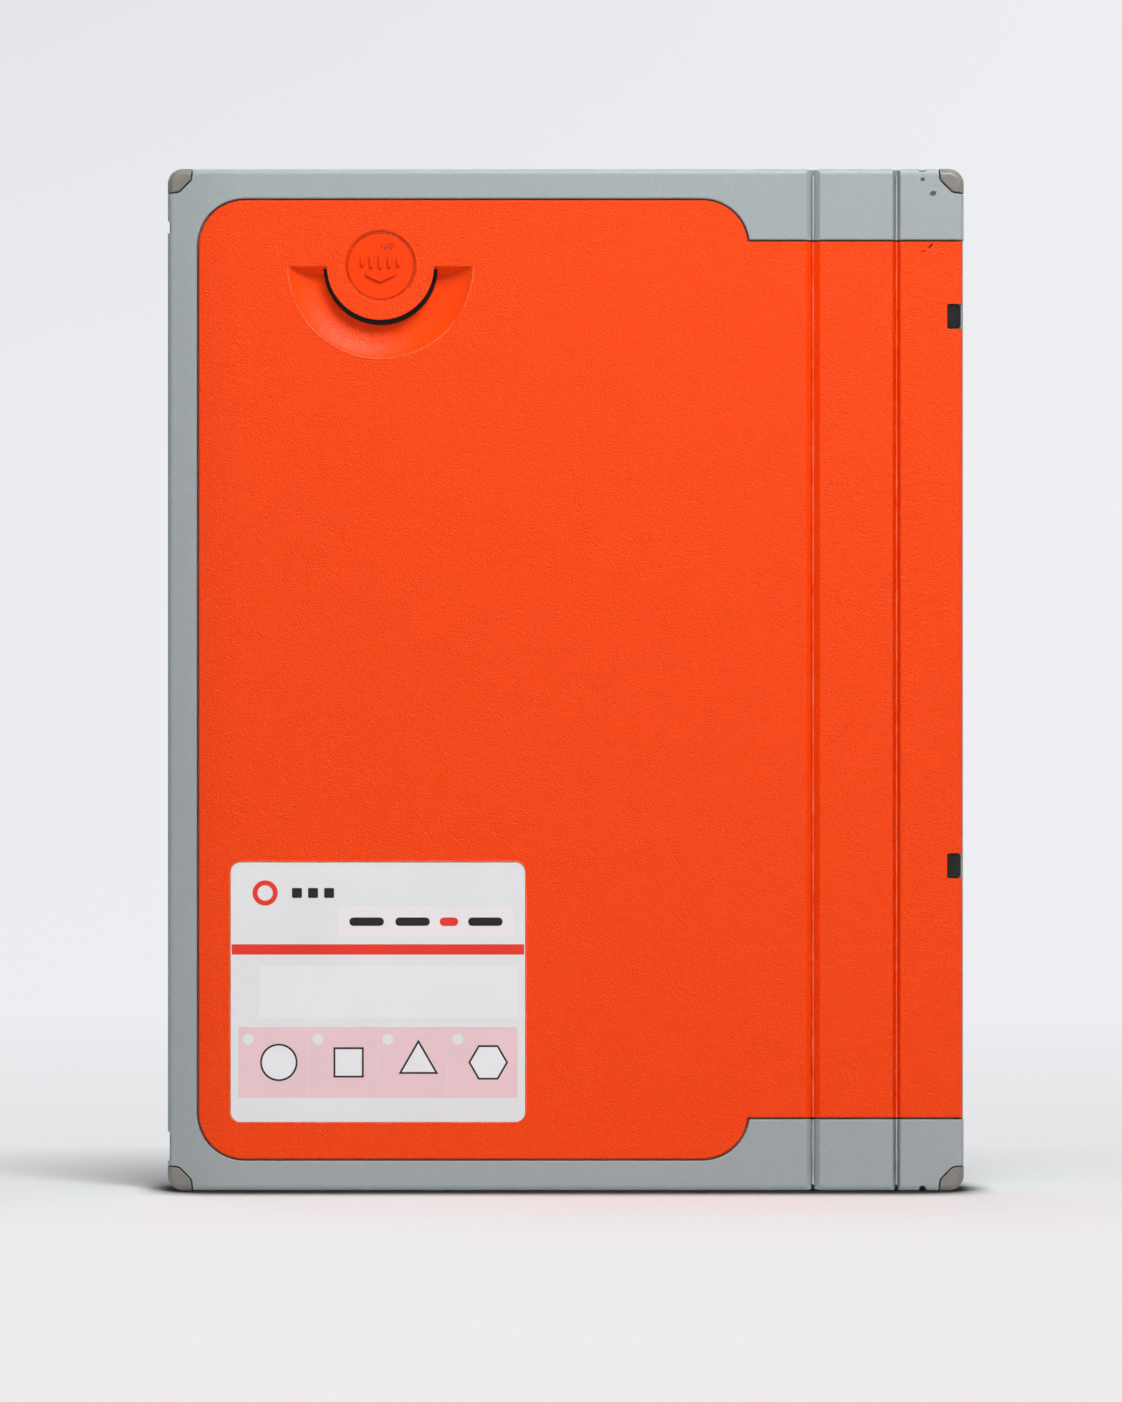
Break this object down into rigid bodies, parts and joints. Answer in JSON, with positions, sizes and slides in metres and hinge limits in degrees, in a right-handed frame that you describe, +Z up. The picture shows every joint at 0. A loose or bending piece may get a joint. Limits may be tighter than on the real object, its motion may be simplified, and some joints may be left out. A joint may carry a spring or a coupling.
{
  "type": "x-ray film cassette",
  "caption": "Flat light-tight cassette for an 18 x 24 cm mammography plate: book lid on living hinges, push-button latch, grey case with an orange panel.",
  "frame": {"origin": "middle of the bottom edge, on the surface that the cassette stands on", "axes": "+X from the latch edge to the hinge edge, +Y from the lid to the tube side, +Z up the long side"},
  "size_m": [0.208, 0.015, 0.267],
  "materials": {
    "grey_plastic": "fine-grained moulded ABS, matt",
    "orange_plastic": "leather-grained moulded ABS, semi-matt",
    "orange_button": "smooth moulded ABS, semi-matt",
    "pewter_plastic": "smooth moulded polyamide, satin",
    "black_plastic": "moulded polyamide, matt",
    "white_acetal": "natural acetal, satin",
    "steel": "zinc-plated steel",
    "spring_steel": "drawn spring wire",
    "carbon_laminate": "matt carbon laminate",
    "black_felt": "short black velour",
    "foam": "open-cell foam, cut faces",
    "aluminium_sheet": "rolled sheet",
    "lead_foil": "dull rolled lead",
    "plate_back": "anodised sheet",
    "phosphor": "white phosphor coating",
    "label_card": "satin polyester film"
  },
  "bodies": {
    "base": {"base_tray": "grey_plastic", "tube_side_panel": "carbon_laminate", "tray_liner": "black_felt", "phosphor_layer": "phosphor", "plate_support": "plate_back", "latch_strikes": "steel", "rf_tag": "black_plastic", "corner_bumper_top_left": "pewter_plastic", "corner_bumper_top_right": "pewter_plastic", "corner_bumper_bottom_left": "pewter_plastic", "corner_bumper_bottom_right": "pewter_plastic", "anchor_frame": "grey_plastic", "anchor_panel": "orange_plastic", "anchor_screws": "steel", "edge_clip_upper": "black_plastic", "edge_clip_lower": "black_plastic", "frame_hinge_outer": "grey_plastic", "panel_hinge_outer": "orange_plastic"},
    "spine": {"spine_frame": "grey_plastic", "spine_panel": "orange_plastic", "frame_hinge_inner": "grey_plastic", "panel_hinge_inner": "orange_plastic"},
    "lid": {"lid_frame": "grey_plastic", "lid_panel": "orange_plastic", "grip_pocket": "black_plastic", "id_label": "label_card", "lid_backing": "aluminium_sheet", "backing_screws": "steel", "backscatter_foil": "lead_foil", "pressure_foam": "foam", "foam_cover": "black_felt", "light_seal": "black_felt", "latch_spring": "spring_steel"},
    "open_button": {"open_button": "orange_button"},
    "latch_slider": {"latch_slider": "white_acetal"}
  },
  "joints": [
    {"name": "spine_fold", "type": "hinge", "parent": "base", "child": "spine", "pos_m": [0.0864, -0.0059, 0], "axis": [0, 0, 1], "range_deg": [0, 60], "deforming": ["frame_hinge_outer", "panel_hinge_outer"]},
    {"name": "lid_fold", "type": "hinge", "parent": "spine", "child": "lid", "pos_m": [0.0646, -0.0059, 0], "axis": [0, 0, 1], "range_deg": [0, 90], "deforming": ["frame_hinge_inner", "panel_hinge_inner"]},
    {"name": "button_press", "type": "slide", "parent": "lid", "child": "open_button", "axis": [0, 1, 0], "range_m": [0, 0.0015]},
    {"name": "latch_slide", "type": "slide", "parent": "lid", "child": "latch_slider", "axis": [0, 0, -1], "range_m": [0, 0.0015], "stiffness_N_per_m": 300, "springref_m": -0.005, "deforming": ["latch_spring"]}
  ],
  "couplings": [
    {"joint": "latch_slide", "follows": "button_press", "ratio": 1}
  ]
}
